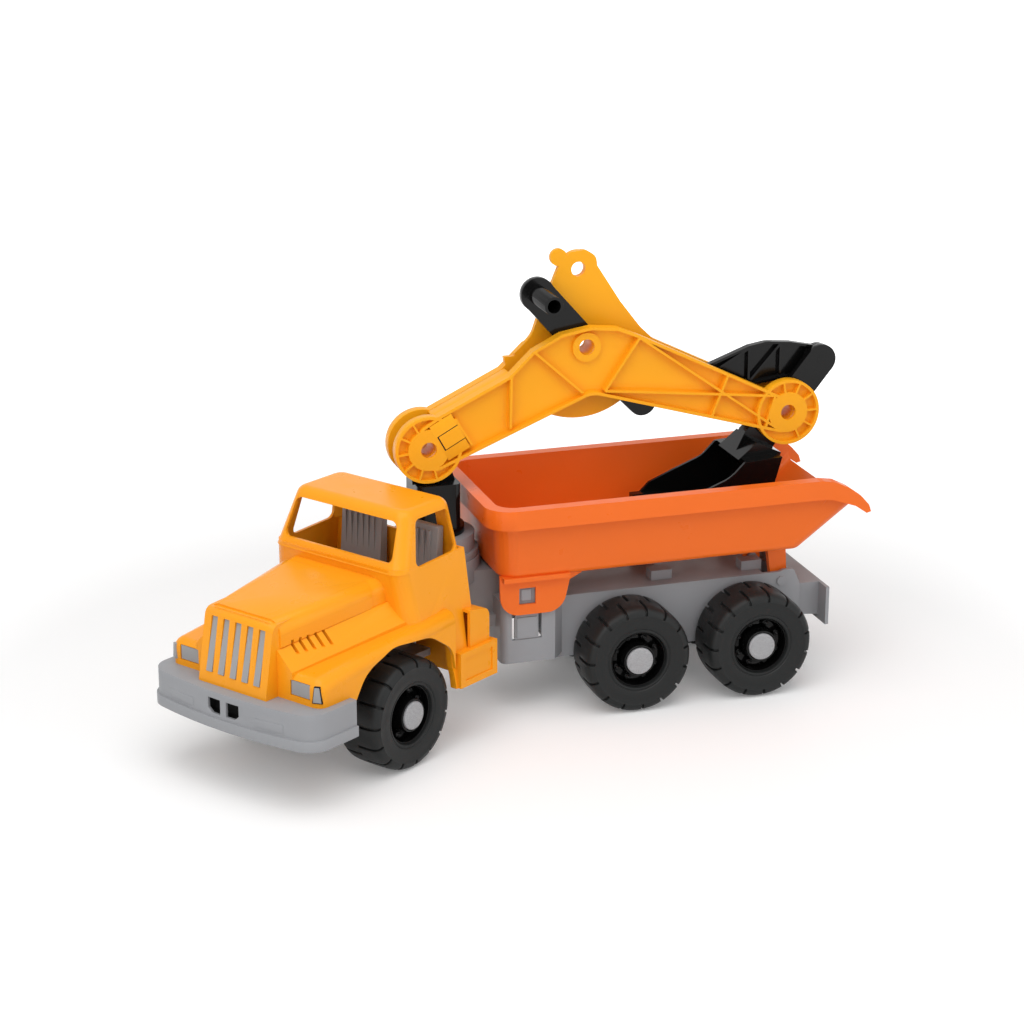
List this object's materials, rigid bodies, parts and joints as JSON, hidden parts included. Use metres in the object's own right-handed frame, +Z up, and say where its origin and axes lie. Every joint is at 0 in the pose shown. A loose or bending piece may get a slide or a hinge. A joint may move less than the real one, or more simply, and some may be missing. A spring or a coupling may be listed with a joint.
{
  "type": "toy tipper truck with digger arm",
  "caption": "Plastic sand-pit tipper truck with a steered cab, a tipping bed and a folding digger arm on a turntable.",
  "frame": {"origin": "middle of the toy's bounding box at rest, on the ground under the tyres", "axes": "+X along the chassis towards the cab, +Y to the truck's left, +Z up"},
  "size_m": [0.5894, 0.2802, 0.3688],
  "materials": {
    "cab_yellow": "glossy",
    "boom_yellow": "satin",
    "bed_orange": "glossy",
    "frame_grey": "satin",
    "trim_grey": "satin",
    "tyre_black": "matte",
    "rim_black": "glossy",
    "arm_black": "glossy",
    "cap_grey": "satin",
    "axle_steel": "satin"
  },
  "bodies": {
    "chassis": {"chassis_frame": "frame_grey", "turntable_ring": "frame_grey", "kingpin": "frame_grey", "bed_hinge_pins": "frame_grey", "mid_axle": "axle_steel", "rear_axle": "axle_steel", "rear_hub_caps": "cap_grey"},
    "cab": {"cab_shell": "cab_yellow", "cab_subframe": "frame_grey", "front_bumper": "frame_grey", "grille_insert": "trim_grey", "lamp_insert_left": "trim_grey", "lamp_insert_right": "trim_grey", "seat_unit": "trim_grey", "front_axle": "axle_steel", "front_hub_caps": "cap_grey"},
    "turret": {"tower": "arm_black", "boom_pivot_tube": "boom_yellow"},
    "boom": {"boom_plate_left": "boom_yellow", "boom_plate_right": "boom_yellow", "lever_pivot_tube": "boom_yellow", "bucket_pivot_tube": "boom_yellow"},
    "lever": {"lever": "arm_black", "link_pin_front": "arm_black"},
    "link": {"link": "arm_black"},
    "bucket": {"bucket": "arm_black", "link_pin_rear": "arm_black"},
    "bed": {"bed_tub": "bed_orange"},
    "latch_left": {"latch_left": "frame_grey"},
    "latch_right": {"latch_right": "frame_grey"},
    "wheel_front_left": {"rim_front_left": "rim_black", "tyre_front_left": "tyre_black"},
    "wheel_front_right": {"rim_front_right": "rim_black", "tyre_front_right": "tyre_black"},
    "wheel_mid_left": {"rim_mid_left": "rim_black", "tyre_mid_left": "tyre_black"},
    "wheel_mid_right": {"rim_mid_right": "rim_black", "tyre_mid_right": "tyre_black"},
    "wheel_rear_left": {"rim_rear_left": "rim_black", "tyre_rear_left": "tyre_black"},
    "wheel_rear_right": {"rim_rear_right": "rim_black", "tyre_rear_right": "tyre_black"}
  },
  "joints": [
    {"name": "cab_steer", "type": "hinge", "parent": "chassis", "child": "cab", "pos_m": [0.05634, -0.05515, 0.07], "axis": [0, 0, 1], "range_deg": [-67.4, 0]},
    {"name": "turret_slew", "type": "hinge", "parent": "chassis", "child": "turret", "pos_m": [0.05634, -0.05515, 0.146], "axis": [0, 0, 1], "range_deg": [-5.5, 5.5]},
    {"name": "boom_luff", "type": "hinge", "parent": "turret", "child": "boom", "pos_m": [0.06384, -0.05515, 0.2185], "axis": [0, 1, 0], "range_deg": [0, 75]},
    {"name": "lever_swing", "type": "hinge", "parent": "boom", "child": "lever", "pos_m": [-0.06926, -0.05515, 0.2917], "axis": [0, 1, 0], "range_deg": [-6, 13]},
    {"name": "link_swing", "type": "hinge", "parent": "lever", "child": "link", "pos_m": [-0.11966, -0.05515, 0.2406], "axis": [0, 1, 0], "range_deg": [-21.5, 9.95]},
    {"name": "bucket_curl", "type": "hinge", "parent": "boom", "child": "bucket", "pos_m": [-0.24496, -0.05515, 0.2228], "axis": [0, 1, 0], "range_deg": [-21.4, 9.9]},
    {"name": "bed_tip", "type": "hinge", "parent": "chassis", "child": "bed", "pos_m": [-0.23366, -0.05515, 0.084], "axis": [0, -1, 0], "range_deg": [0, 45]},
    {"name": "latch_press_left", "type": "slide", "parent": "chassis", "child": "latch_left", "axis": [0, -1, 0], "range_m": [0, 0.002], "stiffness_N_per_m": 2000},
    {"name": "latch_press_right", "type": "slide", "parent": "chassis", "child": "latch_right", "axis": [0, 1, 0], "range_m": [0, 0.002], "stiffness_N_per_m": 2000},
    {"name": "spin_front_left", "type": "hinge", "parent": "cab", "child": "wheel_front_left", "pos_m": [0.12358, 0.06301, 0.045], "axis": [-0.5548, 0.832, 0], "continuous": true},
    {"name": "spin_front_right", "type": "hinge", "parent": "cab", "child": "wheel_front_right", "pos_m": [0.19127, -0.03849, 0.045], "axis": [-0.5548, 0.832, 0], "continuous": true},
    {"name": "spin_mid_left", "type": "hinge", "parent": "chassis", "child": "wheel_mid_left", "pos_m": [-0.09306, 0.00585, 0.045], "axis": [0, 1, 0], "continuous": true},
    {"name": "spin_mid_right", "type": "hinge", "parent": "chassis", "child": "wheel_mid_right", "pos_m": [-0.09306, -0.11615, 0.045], "axis": [0, 1, 0], "continuous": true},
    {"name": "spin_rear_left", "type": "hinge", "parent": "chassis", "child": "wheel_rear_left", "pos_m": [-0.19956, 0.00585, 0.045], "axis": [0, 1, 0], "continuous": true},
    {"name": "spin_rear_right", "type": "hinge", "parent": "chassis", "child": "wheel_rear_right", "pos_m": [-0.19956, -0.11615, 0.045], "axis": [0, 1, 0], "continuous": true}
  ],
  "couplings": [
    {"joint": "link_swing", "follows": "lever_swing", "ratio": -1.65},
    {"joint": "bucket_curl", "follows": "lever_swing", "ratio": -1.64},
    {"joint": "bed_tip", "follows": "boom_luff", "ratio": 0.6}
  ]
}
